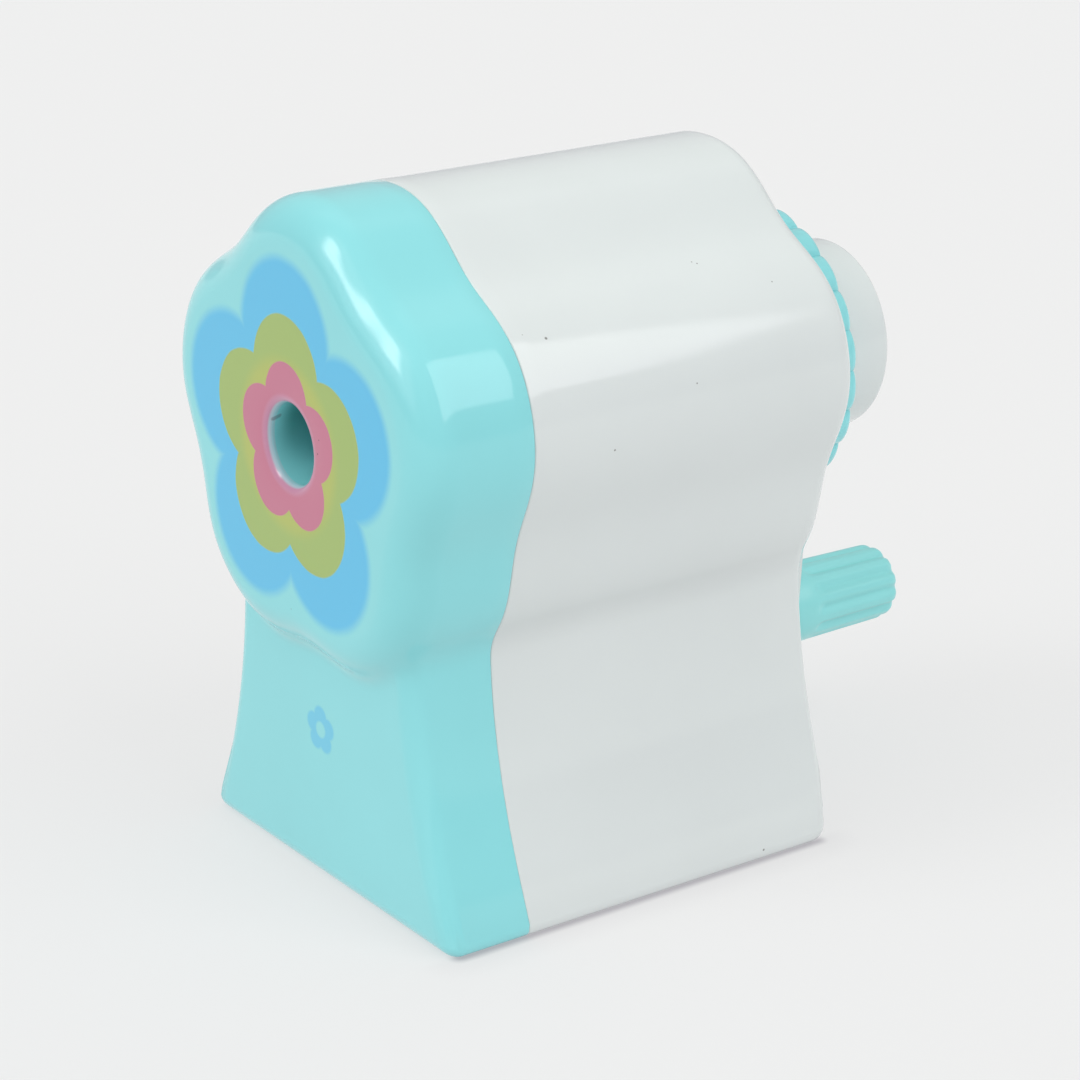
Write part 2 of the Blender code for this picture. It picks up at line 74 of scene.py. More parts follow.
AXIS_Z = middle("drive_shaft", 2)
KNOB_Z = middle("handle_pin", 2)
FACE_Y = low("front_shell", 1)
SEAM_Y = high("front_shell", 1)
REAR_Y = high("rear_shell", 1)
TOP_Z = high("rear_shell", 2)
HUB_REAR = high("crank_arm", 1)
HUB_R = high("crank_arm", 0)
BAND_GAP = 0.35
BAND_FRONT = REAR_Y + BAND_GAP
BAND_REAR = high("lock_ring", 1)
KNOB_FRONT = low("handle_grip", 1)
KNOB_REAR = high("handle_grip", 1)

# ---------------------------------------------------------------- shape of the body shells

PETAL = 1.36
PETAL_SHARP = 0.19
HEAD_R = TOP_Z - AXIS_Z - PETAL + PETAL_SHARP
NECK_HALF = 17.8
FLARE = 8.07
FLARE_TOP = 31.8
FLARE_POWER = 1.84
CORNER = 2.4
HEAD_ROUND = 4.75
FRONT_Y = FACE_Y + 3.2
FRONT_ROUND = 2.6
FOOT_ROUND = 2.0
REAR_ROUND = 2.0
REAR_EDGE_ROUND = 1.0
REAR_FOOT_ROUND = 3.0
NECK_BLEND = 1.6
WALL = 2.0
HOLE_R = 4.48
HOLE_RIM = 0.9
OPENING_R = 14.3
NOTCH_REACH = 15.7
NOTCH_HALF = 3.4
LUG_TURNS = (math.pi / 2, math.pi * 7 / 6, math.pi * 11 / 6)
SEAM_EDGE = 0.10
SEAM_GAP = 0.04
RIM_EDGE = 0.22
LIP_WALL = 1.4
SOCKET_WALL = 1.8
# the gap left round a part that turns or sits in another
PLAY = 0.3
COLUMNS = 480


# ---------------------------------------------------------------- mesh tools

def make_piece(name, points, faces, material, body, sharp=38.0):
    """A mesh piece in metres from points in millimetres, riding on a CAD body."""
    mesh = bpy.data.meshes.new(name)
    mesh.from_pydata((np.asarray(points, float) * MM).tolist(), [], faces)
    bm = bmesh.new()
    bm.from_mesh(mesh)
    bmesh.ops.remove_doubles(bm, verts=bm.verts, dist=0.002 * MM)
    bmesh.ops.recalc_face_normals(bm, faces=bm.faces)
    bm.to_mesh(mesh)
    bm.free()
    mesh.shade_smooth()
    mesh.set_sharp_from_angle(angle=math.radians(sharp))
    mesh.materials.append(material)
    item = bpy.data.objects.new(name, mesh)
    bpy.context.scene.collection.objects.link(item)
    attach(item, body)
    return item


def loft_faces(rows, columns, wrap, offset=0):
    """Quads between rings of equal count; without wrap both ends are capped."""
    faces = []
    pairs = [(row, row + 1) for row in range(rows - 1)]
    if wrap:
        pairs.append((rows - 1, 0))
    for near, far in pairs:
        for column in range(columns):
            after = (column + 1) % columns
            faces.append((offset + near * columns + column, offset + near * columns + after,
                          offset + far * columns + after, offset + far * columns + column))
    if not wrap:
        faces.append(tuple(offset + column for column in reversed(range(columns))))
        faces.append(tuple(offset + (rows - 1) * columns + column for column in range(columns)))
    return faces


def loft_piece(name, rings, material, body, wrap=True, sharp=38.0):
    """One skin over a stack of rings."""
    rings = np.asarray(rings, float)
    faces = loft_faces(len(rings), rings.shape[1], wrap)
    return make_piece(name, rings.reshape(-1, 3), faces, material, body, sharp)


def rounded(profile, closed):
    """Replace each corner (r, y, radius) of a profile by an arc of that radius."""
    degrees_per_step = 15.0
    corners = [np.array(corner[:2], float) for corner in profile]
    radii = [corner[2] for corner in profile]
    count = len(corners)
    points = []
    for index in range(count):
        here = corners[index]
        if radii[index] <= 0 or (not closed and index in (0, count - 1)):
            points.append(here)
            continue
        back = corners[index - 1] - here
        ahead = corners[(index + 1) % count] - here
        room = min(np.linalg.norm(back), np.linalg.norm(ahead))
        back /= np.linalg.norm(back)
        ahead /= np.linalg.norm(ahead)
        half = math.acos(max(-1.0, min(1.0, float(back @ ahead)))) / 2
        radius = min(radii[index], 0.49 * room * math.tan(half))
        reach = radius / math.tan(half)
        centre = here + (back + ahead) / np.linalg.norm(back + ahead) * radius / math.sin(half)
        start = here + back * reach - centre
        stop = here + ahead * reach - centre
        sweep = math.atan2(start[0] * stop[1] - start[1] * stop[0], float(start @ stop))
        steps = max(2, int(round(abs(math.degrees(sweep)) / degrees_per_step)))
        for part in range(steps + 1):
            turn = sweep * part / steps
            spin = np.array([[math.cos(turn), -math.sin(turn)], [math.sin(turn), math.cos(turn)]])
            points.append(centre + spin @ start)
    return points


def turned_piece(name, profile, material, columns, closed=True):
    """A crank piece turned about the crank axis from a rounded (r, y, radius) profile."""
    angles = np.arange(columns) * math.tau / columns
    rings = []
    for radius, y in rounded(profile, closed):
        rings.append(np.stack([radius * np.cos(angles), np.full(columns, y), radius * np.sin(angles)], 1))
    rings = np.array(rings)
    rings[..., 2] += AXIS_Z
    return loft_piece(name, rings, material, "crank", wrap=closed)


# ---------------------------------------------------------------- body field

def flower_polar(angle):
    """The flower outline's distance from the crank axis, and how squarely it faces outwards (1 is fully)."""
    turn = angle - math.pi / 2
    radius = HEAD_R + PETAL * np.cos(5 * turn) - PETAL_SHARP * np.cos(10 * turn)
    slope = -5 * PETAL * np.sin(5 * turn) + 10 * PETAL_SHARP * np.sin(10 * turn)
    return radius, radius / np.hypot(radius, slope)


def flower_distance(x, z):
    """Signed distance to the flower's outline, good near the outline."""
    radius, lean = flower_polar(np.arctan2(z - AXIS_Z, x))
    return (np.hypot(x, z - AXIS_Z) - radius) * lean


def base_distance(x, z, inset=0.0, lift=0.0):
    """Signed distance to the flared base, whose column ends inside the flower.

    inset moves its sides in and lift raises its underside.
    """
    rise = np.clip((FLARE_TOP - z) / FLARE_TOP, 0, 2)
    half = NECK_HALF + FLARE * rise ** FLARE_POWER
    slope = FLARE * FLARE_POWER * rise ** (FLARE_POWER - 1) / FLARE_TOP
    across = (np.abs(x) - half) / np.hypot(1, slope)
    sides = round_corner(across + inset, lift - z, max(CORNER - lift, 0.05))
    return np.maximum(sides, z - AXIS_Z)


def round_corner(a, b, radius):
    """The larger of two distances, with the outer corner between them rounded."""
    outside = np.hypot(np.maximum(a + radius, 0), np.maximum(b + radius, 0))
    return outside + np.minimum(np.maximum(a, b) + radius, 0) - radius


def blend_union(a, b, width):
    """The smaller of two distances, with the inner crease between them filled."""
    near = np.maximum(width - np.abs(a - b), 0) / width
    return np.minimum(a, b) - near * near * width / 4


def edge_radius(z, at_foot, above):
    """A rounded edge's radius, easing from the underside's to the upright corners'."""
    rise = 5.0
    share = np.clip((z - at_foot) / rise, 0, 1)
    return at_foot + (above - at_foot) * share * share * (3 - 2 * share)


def body_field(points):
    """Signed distance to the two body shells' common outer surface."""
    x, y, z = points[..., 0], points[..., 1], points[..., 2]
    flower = flower_distance(x, z)
    base = base_distance(x, z)
    head = round_corner(flower, FACE_Y - y, HEAD_ROUND)
    foot = round_corner(base, FRONT_Y - y, edge_radius(z, FOOT_ROUND, FRONT_ROUND))
    front = blend_union(head, foot, NECK_BLEND)
    head_rear = round_corner(flower, y - REAR_Y, REAR_ROUND)
    foot_rear = round_corner(base, y - REAR_Y, edge_radius(z, REAR_FOOT_ROUND, REAR_EDGE_ROUND))
    rear = blend_union(head_rear, foot_rear, NECK_BLEND)
    return np.where(y < 0, front, rear)


def settle(points):
    """Move points onto the body field's zero surface along its slope."""
    rounds, step = 12, 0.01
    least_slope, longest_move = 0.05, 1.5
    points = np.array(points, float)
    for _ in range(rounds):
        value = body_field(points)
        slope = np.zeros_like(points)
        for axis in range(3):
            shift = np.zeros(3)
            shift[axis] = step
            slope[..., axis] = (body_field(points + shift) - body_field(points - shift)) / (2 * step)
        size = np.maximum((slope ** 2).sum(-1), least_slope)
        move = np.clip(value / size, -longest_move, longest_move)
        points -= move[..., None] * slope
    return points


def outline_angles():
    """Directions round the crank axis, closer together at the base's tight lower corners."""
    even = np.arange(COLUMNS) / COLUMNS * math.tau
    corner = math.atan2(AXIS_Z - CORNER, NECK_HALF + FLARE - CORNER)
    reach, strength = math.radians(5.0), 0.72
    angles = even.copy()
    for at in (-corner % math.tau, (math.pi + corner) % math.tau):
        gap = (even - at + math.pi) % math.tau - math.pi
        angles -= strength * gap * np.exp(-(gap / reach) ** 2)
    return np.unwrap(angles)


ANGLES = outline_angles()


def base_polar(inset, lift=None):
    """Distance from the crank axis to the flared base's outline in each direction."""
    halvings = 34
    lift = inset if lift is None else lift
    low_r = np.zeros(COLUMNS)
    high_r = np.full(COLUMNS, 2 * AXIS_Z)
    for _ in range(halvings):
        mid = (low_r + high_r) / 2
        inside = base_distance(mid * np.cos(ANGLES), AXIS_Z + mid * np.sin(ANGLES), inset, lift) <= 0
        low_r = np.where(inside, mid, low_r)
        high_r = np.where(inside, high_r, mid)
    return low_r


def edge_inset(radius, depth):
    """How far a rounded edge stands in from the side wall, at a depth behind the face."""
    reach = max(radius - depth, 0.0)
    return radius - math.sqrt(radius * radius - reach * reach)


def head_polar(inset):
    """Distance from the crank axis to the flower's outline, set in, in each direction."""
    radius, lean = flower_polar(ANGLES)
    return radius - inset / lean


def ring_at(radius, y):
    """A ring of points at one depth, at the given distances from the crank axis."""
    radius = np.broadcast_to(radius, ANGLES.shape)
    return np.stack([radius * np.cos(ANGLES), np.full(COLUMNS, y), AXIS_Z + radius * np.sin(ANGLES)], 1)


def union_ring(y, head_inset, base_inset, base_lift=None):
    """The outline of the flower and the base together, each set in by its own amount."""
    return ring_at(np.maximum(head_polar(head_inset), base_polar(base_inset, base_lift)), y)


# ---------------------------------------------------------------- shells

def front_shell(material):
    """The aqua front: hole rim, flat face, boss, filleted foot, flared base, then the inside."""
    rim = []
    for degrees in np.linspace(0, 90, 7):
        turn = math.radians(degrees)
        radius = HOLE_R + HOLE_RIM * (1 - math.cos(turn))
        rim.append(ring_at(radius, FACE_Y + HOLE_RIM * (1 - math.sin(turn))))
    # across the flat face, from the hole's rim to the start of the flower's rounded edge
    start = head_polar(HEAD_ROUND)
    rim_end = HOLE_R + HOLE_RIM
    for part in (0.15, 0.4, 0.7, 0.93):
        rim.append(ring_at(rim_end + (start - rim_end) * part, FACE_Y))

    # down the flower's rounded edge to the depth of the base's front
    outer = []
    step = FRONT_Y - FACE_Y
    foot = math.acos(1 - step / HEAD_ROUND)
    for part in np.linspace(0, 1, 20):
        depth = HEAD_ROUND * (1 - math.cos(foot * part))
        outer.append(ring_at(head_polar(edge_inset(HEAD_ROUND, depth)), FACE_Y + depth))
    # out over the base's front, with the rings closest together beside the flower
    foot_radius = head_polar(edge_inset(HEAD_ROUND, step))
    base_edge = np.maximum(foot_radius, base_polar(FRONT_ROUND, FOOT_ROUND))
    for reach in (0.2, 0.4, 0.65, 0.9, 1.2, 1.6, 2.1, 2.8, 3.8, 5.0, 7.0, 10.0, 14.0, 18.0, 22.0, 60.0):
        outer.append(ring_at(np.minimum(foot_radius + reach, base_edge), FRONT_Y))
    # round the base's front edge, then straight back to the seam
    for degrees in (6, 12, 19, 26, 33, 40, 47, 55, 64, 73, 82, 90):
        depth = FRONT_ROUND * (1 - math.cos(math.radians(degrees)))
        outer.append(union_ring(FRONT_Y + depth, edge_inset(HEAD_ROUND, step + depth),
                                edge_inset(FRONT_ROUND, depth), edge_inset(FOOT_ROUND, depth)))
    last = FRONT_Y + FRONT_ROUND
    for part in (0.25, 0.5, 0.75, 1.0):
        outer.append(union_ring(last + (SEAM_Y - SEAM_EDGE - last) * part, 0, 0))
    outer = settle(outer)

    edge = []
    for degrees in (45, 90):
        turn = math.radians(degrees)
        inset = SEAM_EDGE * (1 - math.cos(turn))
        edge.append(shrink(outer[-1], inset, SEAM_Y - SEAM_EDGE * (1 - math.sin(turn))))
    # the inside, from the seam forward, ending in the bush's socket
    inner = [union_ring(SEAM_Y, WALL, WALL), union_ring(FRONT_Y + WALL, WALL, WALL)]
    inner.append(ring_at(head_polar(WALL + 1.0), FRONT_Y + WALL))
    inner.append(ring_at(head_polar(HEAD_ROUND), FACE_Y + WALL))
    socket_floor = low("front_bush", 1) - PLAY
    socket_end = high("front_bush", 1) + PLAY
    socket_r = high("front_bush", 0) + PLAY
    tube_r = socket_r + SOCKET_WALL
    for radius, y in ((tube_r, FACE_Y + WALL), (tube_r, socket_end), (socket_r, socket_end),
                      (socket_r, socket_floor), (HOLE_R, socket_floor)):
        inner.append(ring_at(radius, y))
    rings = np.concatenate([np.array(rim), outer, np.array(edge), np.array(inner)])
    piece = loft_piece("front_shell_skin", rings, material, "housing")
    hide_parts("front_shell")


def shrink(ring, inset, y):
    """A ring moved inwards towards the crank axis."""
    ring = np.array(ring, float)
    out = ring[:, (0, 2)] - np.array([0, AXIS_Z])
    size = np.linalg.norm(out, axis=1, keepdims=True)
    out *= (size - inset) / size
    return np.stack([out[:, 0], np.full(len(ring), y), out[:, 1] + AXIS_Z], 1)


def notched(radius, reach, half, angles):
    """A round outline with three square-ended tabs or notches reaching further out."""
    widest_turn = 1.2
    best = np.full(angles.shape, radius)
    for middle_turn in LUG_TURNS:
        gap = (angles - middle_turn + math.pi) % math.tau - math.pi
        facing = np.abs(gap) < widest_turn
        box = np.minimum(reach / np.maximum(np.cos(gap), 0.1), half / np.maximum(np.abs(np.sin(gap)), 1e-6))
        best = np.where(facing, np.maximum(best, box), best)
    return best


def rear_shell(material):
    """The white body: the same outline carried back to a flat rear wall with the unit's opening."""
    seam = SEAM_Y + SEAM_GAP
    rim = []
    for degrees in (0, 30, 60):
        turn = math.radians(degrees)
        rim.append((RIM_EDGE * (1 - math.sin(turn)), seam + RIM_EDGE * (1 - math.cos(turn))))
    body = [union_ring(y, 0, 0) for y in np.linspace(seam + RIM_EDGE, REAR_Y - REAR_FOOT_ROUND, 22)]
    for degrees in (76, 65, 56, 48, 41, 34, 27, 20, 14, 9, 4, 0):
        depth = REAR_FOOT_ROUND * (1 - math.cos(math.radians(degrees)))
        body.append(union_ring(REAR_Y - depth, edge_inset(REAR_ROUND, depth),
                               edge_inset(REAR_EDGE_ROUND, depth), edge_inset(REAR_FOOT_ROUND, depth)))
    body = settle(body)
    edge = [shrink(body[0], inset, y) for inset, y in rim]
    hole = notched(OPENING_R, NOTCH_REACH, NOTCH_HALF, ANGLES)
    inset_ring = shrink(body[-1], 0.6, REAR_Y)
    reach = np.hypot(inset_ring[:, 0], inset_ring[:, 2] - AXIS_Z)
    face = [inset_ring]
    for part in (0.35, 0.7):
        face.append(ring_at(reach + (hole + 1.0 - reach) * part, REAR_Y))
    # the opening's mouth is eased over 0.3 mm, then runs straight through the wall
    face += [ring_at(hole + 0.3, REAR_Y), ring_at(hole + 0.08, REAR_Y - 0.09), ring_at(hole, REAR_Y - 0.3),
             ring_at(hole, REAR_Y - WALL)]
    # the lip steps in from the wall and reaches forward into the front shell
    lip_y = low("rear_shell", 1)
    lip_inside, lip_outside = WALL + LIP_WALL, WALL + PLAY
    slope_start, slope_end = SEAM_Y + 5.0, SEAM_Y + 3.0
    inner = [ring_at(np.maximum(head_polar(WALL), base_polar(WALL)), REAR_Y - WALL),
             union_ring(slope_start, WALL, WALL), union_ring(slope_end, lip_inside, lip_inside),
             union_ring(lip_y, lip_inside, lip_inside), union_ring(lip_y, lip_outside, lip_outside),
             union_ring(seam, lip_outside, lip_outside)]
    rings = np.concatenate([np.array(edge), body, np.array(face), np.array(inner)])
    piece = loft_piece("rear_shell_skin", rings, material, "housing")
    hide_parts("rear_shell")


def key_posts(material):
    """Six ribs inside the rear wall whose teeth stop the gear seat from turning."""
    tooth_r, bar_r, outer_r = 14.9, 16.2, 18.2
    aside, thick, tooth_length = 3.0, 2.0, 4.2
    tooth_front = low("gear_seat", 1) + 0.1
    tooth_rear = tooth_front + tooth_length
    wall = REAR_Y - WALL + 0.2
    profile = [(tooth_r, tooth_front), (outer_r, tooth_front), (outer_r, wall), (bar_r, wall),
               (bar_r, tooth_rear), (tooth_r, tooth_rear)]
    points, faces = [], []
    for middle_turn in LUG_TURNS:
        along = np.array([math.cos(middle_turn), 0, math.sin(middle_turn)])
        across = np.array([-math.sin(middle_turn), 0, math.cos(middle_turn)])
        for side in (-1, 1):
            rows = []
            for depth in (aside, aside + thick):
                rows.append([along * reach + across * side * depth + np.array([0, y, AXIS_Z])
                             for reach, y in profile])
            faces += loft_faces(2, len(profile), False, len(points))
            points += rows[0] + rows[1]
    piece = make_piece("key_posts", points, faces, material, "housing")
    bevel(piece, 0.25)


def bevel(piece, width, segments=2, angle=40.0):
    """Round the edges that turn by more than an angle."""
    modifier = piece.modifiers.new("edge_round", "BEVEL")
    modifier.width = width * MM
    modifier.segments = segments
    modifier.limit_method = "ANGLE"
    modifier.angle_limit = math.radians(angle)


# ---------------------------------------------------------------- grip ring

LOBES = 22
LOBE_STEPS = 18
LOBE_TURN = math.radians(11.2)
BAND_PEAK = 17.4
LOBE_DEPTH = 0.85


def scallop(angles):
    """0 on a lobe's crest, 1 in the narrow groove between two lobes."""
    part = np.abs((((angles - LOBE_TURN) * LOBES / math.tau + 0.5) % 1.0) - 0.5) * 2
    fullness = 0.9
    return (1 - np.sqrt(1 - fullness * part ** 2)) / (1 - math.sqrt(1 - fullness))


def lock_ring(material):
    """The grip ring: a plain tube with three lugs, a scalloped band and a dished rear face."""
    columns = LOBES * LOBE_STEPS
    angles = np.arange(columns) * math.tau / columns + LOBE_TURN
    groove = scallop(angles)

    def ring(radius, y, depth=0.0):
        reach = np.broadcast_to(radius, angles.shape) - depth * groove
        return np.stack([reach * np.cos(angles), np.full(columns, y), AXIS_Z + reach * np.sin(angles)], 1)

    tube_r, lug_reach, lug_half, seat_r, dish_r, hub_hole_r = 14.0, 15.2, 3.0, 12.7, 11.9, 9.2
    tube_front, lug_front, lug_rear, seat_end = 18.75, 22.6, 24.5, 32.9
    front_edge, rear_edge, dish = 0.45, 1.0, 0.5
    front, rear = BAND_FRONT, BAND_REAR
    lugs = notched(tube_r, lug_reach, lug_half, angles)
    rows = [ring(seat_r, tube_front + 0.15), ring(seat_r + 0.3, tube_front), ring(tube_r - 0.3, tube_front),
            ring(tube_r, tube_front + 0.3), ring(tube_r, lug_front), ring(lugs, lug_front),
            ring(lugs, lug_rear), ring(tube_r, lug_rear), ring(tube_r, front)]
    rows += [ring(BAND_PEAK - 1.2, front), ring(BAND_PEAK - 0.5, front, LOBE_DEPTH)]
    for degrees in (20, 45, 70, 90):
        turn = math.radians(degrees)
        radius = BAND_PEAK - front_edge * (1 - math.sin(turn))
        rows.append(ring(radius, front + front_edge * (1 - math.cos(turn)), LOBE_DEPTH))
    for y in np.linspace(front + 1.0, rear - 1.1, 6):
        rows.append(ring(BAND_PEAK, y, LOBE_DEPTH))
    for degrees in np.linspace(0, 90, 8):
        turn = math.radians(degrees)
        radius = BAND_PEAK - rear_edge * (1 - math.cos(turn))
        rows.append(ring(radius, rear - rear_edge * (1 - math.sin(turn)),
                         LOBE_DEPTH * (1 - 0.55 * math.sin(turn) ** 2)))
    rows += [ring(BAND_PEAK - 1.9, rear, 0.05), ring(dish_r + 0.7, rear), ring(dish_r + 0.4, rear - 0.3),
             ring(dish_r, rear - dish), ring(hub_hole_r + 0.3, rear - dish),
             ring(hub_hole_r + 0.05, rear - 0.65), ring(hub_hole_r, rear - 1.0), ring(hub_hole_r, seat_end),
             ring(seat_r, seat_end)]
    piece = loft_piece("lock_ring_skin", rows, material, "grip_ring")
    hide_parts("lock_ring")


# ---------------------------------------------------------------- crank

def crank_hub(material):
    """The white hub, with the screw's and the cap's recesses in its rear."""
    bore_r, screw_r, screw_recess_r, cap_recess_r, neck_r = 2.8, 1.4, 5.0, 8.3, 8.8
    spigot = 33.0
    front = BAND_REAR + PLAY
    shaft_end = high("drive_shaft", 1) + PLAY
    screw_seat = low("screw_washer", 1) - PLAY
    cap_seat = low("hub_cap", 1) - PLAY
    profile = [(bore_r, spigot, 0.2), (bore_r, shaft_end, 0), (screw_r, shaft_end, 0),
               (screw_r, screw_seat, 0.1), (screw_recess_r, screw_seat, 0.3),
               (screw_recess_r, cap_seat, 0.1), (cap_recess_r, cap_seat, 0.1),
               (cap_recess_r, HUB_REAR, 0.15), (HUB_R, HUB_REAR, 0.7), (HUB_R, front, 0.3),
               (neck_r, front, 0.2), (neck_r, spigot, 0.3)]
    hub = turned_piece("crank_hub_skin", profile, material, columns=160)
    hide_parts("crank_arm")


def hub_cap(material):
    """The disc in the hub's rear, with a soft edge and a nearly flat face."""
    cap_r, axis_r = 8.0, 0.02
    front = low("hub_cap", 1)
    profile = [(axis_r, front, 0), (cap_r, front, 0.1), (cap_r, HUB_REAR - 0.05, 0.35), (6.5, HUB_REAR, 1.0),
               (axis_r, HUB_REAR + 0.05, 0)]
    disc = turned_piece("hub_cap_skin", profile, material, columns=120, closed=False)
    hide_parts("hub_cap")


def crank_lever(material):
    """A tapering bar with rounded edges, thicker once it is clear of the grip ring."""
    drop = AXIS_Z - KNOB_Z
    end_r, top_half, top = 5.2, 7.6, -7.0
    rear, thin_front, thick_front = 37.2, 35.3, 32.5
    thicker_below, ease = -18.2, 1.8
    steps, side_steps = 24, 14
    points, faces = [], []
    outline = []
    for index in range(steps + 1):
        turn = -math.pi * index / steps
        outline.append((end_r * math.cos(turn), -drop + end_r * math.sin(turn)))
    left, right = [], []
    for index in range(1, side_steps + 1):
        part = index / side_steps
        z = -drop + (drop + top) * part
        half = end_r + (top_half - end_r) * part * (drop + top) / drop
        right.append((half, z))
        left.append((-half, z))
    outline = list(reversed(right)) + outline + left
    for x, z in outline:
        blend = min(max((thicker_below - z) / ease, 0.0), 1.0)
        blend = blend * blend * (3 - 2 * blend)
        points.append((x, thin_front + (thick_front - thin_front) * blend, AXIS_Z + z))
    for x, z in outline:
        points.append((x, rear, AXIS_Z + z))
    count = len(outline)
    for index in range(count):
        after = (index + 1) % count
        faces.append((index, after, count + after, count + index))
    half_count = count // 2
    for offset, flip in ((0, False), (count, True)):
        for index in range(half_count):
            mirror_near, mirror_far = count - 1 - index, count - 2 - index
            quad = [offset + index, offset + index + 1, offset + mirror_far, offset + mirror_near]
            quad = list(dict.fromkeys(quad))
            if len(quad) > 2:
                faces.append(tuple(quad if flip else reversed(quad)))
    arm = make_piece("crank_lever", points, faces, material, "crank", sharp=30)
    bevel(arm, 0.7, segments=4, angle=50)


# ---------------------------------------------------------------- knob

KNOB_FLUTES = 12
KNOB_TURN = math.radians(5.3)
KNOB_R = high("handle_grip", 0)


def handle_grip(material):
    """A knob with a plain collar, then rounded ridges between grooves with scooped starts."""
    columns = KNOB_FLUTES * 22
    turns = np.arange(columns) / columns
    angles = turns * math.tau + KNOB_TURN
    part = np.abs(((turns * KNOB_FLUTES) % 1.0) - 0.5) * 2
    ridge_share = 0.22
    groove = np.clip((part - ridge_share) / (1 - ridge_share), 0, 1)
    groove = groove * groove * (3 - 2 * groove)
    depth_full, scoop = 0.46, 1.6
    front_edge, rear_drop, rear_length = 0.5, 1.4, 1.6
    scoop_fall, taper = 0.03, 0.17
    bore_r, recess_r, recess_floor = 1.9, 3.1, 51.2
    collar_end = KNOB_FRONT + 3.3
    ridges_start = collar_end + scoop
    ridges_end = KNOB_REAR - 1.7
    rows = []

    def ring(radius, y, depth):
        reach = radius - depth * groove
        return np.stack([reach * np.cos(angles), np.full(columns, y), KNOB_Z + reach * np.sin(angles)], 1)

    for degrees in np.linspace(0, 90, 5):
        turn = math.radians(degrees)
        radius = KNOB_R - front_edge * (1 - math.sin(turn))
        rows.append(ring(radius, KNOB_FRONT + front_edge * (1 - math.cos(turn)), 0))
    rows.append(ring(KNOB_R, collar_end - 0.6, 0))
    for part_way in np.linspace(0, 1, 12):
        sunk = math.sin(part_way * math.pi / 2) ** 1.2
        rows.append(ring(KNOB_R - scoop_fall * part_way, collar_end + scoop * part_way, depth_full * sunk))
    for part_way in np.linspace(0.1, 1, 10):
        y = ridges_start + (ridges_end - ridges_start) * part_way
        rows.append(ring(KNOB_R - scoop_fall - taper * part_way, y, depth_full))
    for degrees in np.linspace(8, 90, 9):
        turn = math.radians(degrees)
        radius = KNOB_R - scoop_fall - taper - rear_drop * (1 - math.cos(turn))
        rows.append(ring(radius, KNOB_REAR - rear_length * (1 - math.sin(turn)),
                         depth_full * (1 - 0.5 * math.sin(turn) ** 2)))
    for radius, y in ((recess_r + 0.1, KNOB_REAR), (recess_r, KNOB_REAR - 0.1), (recess_r, recess_floor),
                      (bore_r, recess_floor), (bore_r, KNOB_FRONT)):
        rows.append(ring(radius, y, 0))
    piece = loft_piece("handle_grip_skin", rows, material, "knob")
    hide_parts("handle_grip")


# ---------------------------------------------------------------- cutting unit

def joint_matrix(name):
    """A joint's own frame in millimetres: local Y on its axis."""
    joint = next(item for item in frame["joints"] if item["name"] == name)
    axis = Vector(joint["axis"]).normalized()
    side = Vector((1, 0, 0))
    up = side.cross(axis)
    place = Vector(joint["pos_m"]) / MM
    turn = Matrix((side, axis, up)).transposed()
    return Matrix.Translation(place) @ turn.to_4x4()


def helical_cutter(material):
    """Twelve ground spiral edges on a steel roller, with a chamfered end and a bore for the pin."""
    flutes, per_flute, steps = 12, 14, 70
    radius, bore_r, depth, chamfer_size, twist = 4.5, 1.5, 0.75, 0.35, math.radians(170)
    front, rear = -27.5, -1.6
    columns = flutes * per_flute
    part = (np.arange(columns) % per_flute) / per_flute
    # from one edge's crest down into a nearly level flute, then up to the next crest
    cut = np.interp(part, [0, 0.1, 0.3, 0.72, 1.0], [0, 0.22, 1.0, 0.9, 0.0])
    base = np.arange(columns) * math.tau / columns

    def ring(reach, share):
        angles = base + twist * share
        y = front + (rear - front) * share
        return np.stack([reach * np.cos(angles), np.full(columns, y), reach * np.sin(angles)], 1)

    rows = []
    for step in range(steps + 1):
        share = step / steps
        edge = min(share, 1 - share) * (rear - front)
        chamfer = max(chamfer_size - edge, 0.0)
        rows.append(ring(radius - chamfer - depth * cut, share))
    for step in reversed(range(steps + 1)):
        rows.append(ring(bore_r, step / steps))
    place = joint_matrix("cutter_spin")
    rings = np.array(rows) @ np.array(place.to_3x3()).T + np.array(place.translation)
    piece = loft_piece("helical_cutter_skin", rings, material, "cutter", sharp=28)
    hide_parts("helical_cutter")


# ---------------------------------------------------------------- materials

def linear(red, green, blue):
    """Display colour (0 to 255) as linear light."""
    values = []
    for part in (red, green, blue):
        share = part / 255
        values.append(share / 12.92 if share <= 0.04045 else ((share + 0.055) / 1.055) ** 2.4)
    return tuple(values)


AQUA = linear(140, 221, 225)
KNOB_AQUA = linear(142, 222, 222)
WHITE = linear(219, 225, 224)
NATURAL = linear(228, 226, 214)
STEEL = linear(196, 198, 201)
ZINC = linear(205, 206, 208)
BLUE = linear(80, 189, 233)
GREEN = linear(161, 184, 86)
YELLOW = linear(190, 190, 84)
PINK = linear(197, 108, 140)
RIM_TINT = linear(196, 168, 200)
# bare plastic at the hole's mouth, painted paler as a highlight
BARE_AND_HIGHLIGHT_TINT = linear(172, 214, 222)
# colour of the ink flecks, also used for a painted reflection in the hole's mouth
INK_AND_REFLECTION = linear(110, 62, 84)
BORE_SHADE = linear(44, 126, 122)
DIRT = (0.12, 0.10, 0.09)
DUST_TINT = (0.08, 0.07, 0.06)
# Dust on the white body: place in millimetres, radius
DUST = [((21.9, -12.1, 66.1), 0.22), ((17.3, 11.1, 69.4), 0.13), ((17.0, 10.6, 69.6), 0.11),
        ((20.9, 18.6, 67.0), 0.12), ((25.6, 4.8, 59.2), 0.12), ((21.2, -14.6, 66.7), 0.1),
        ((26.0, -6.2, 54.0), 0.17), ((25.0, 16.2, 1.6), 0.2)]


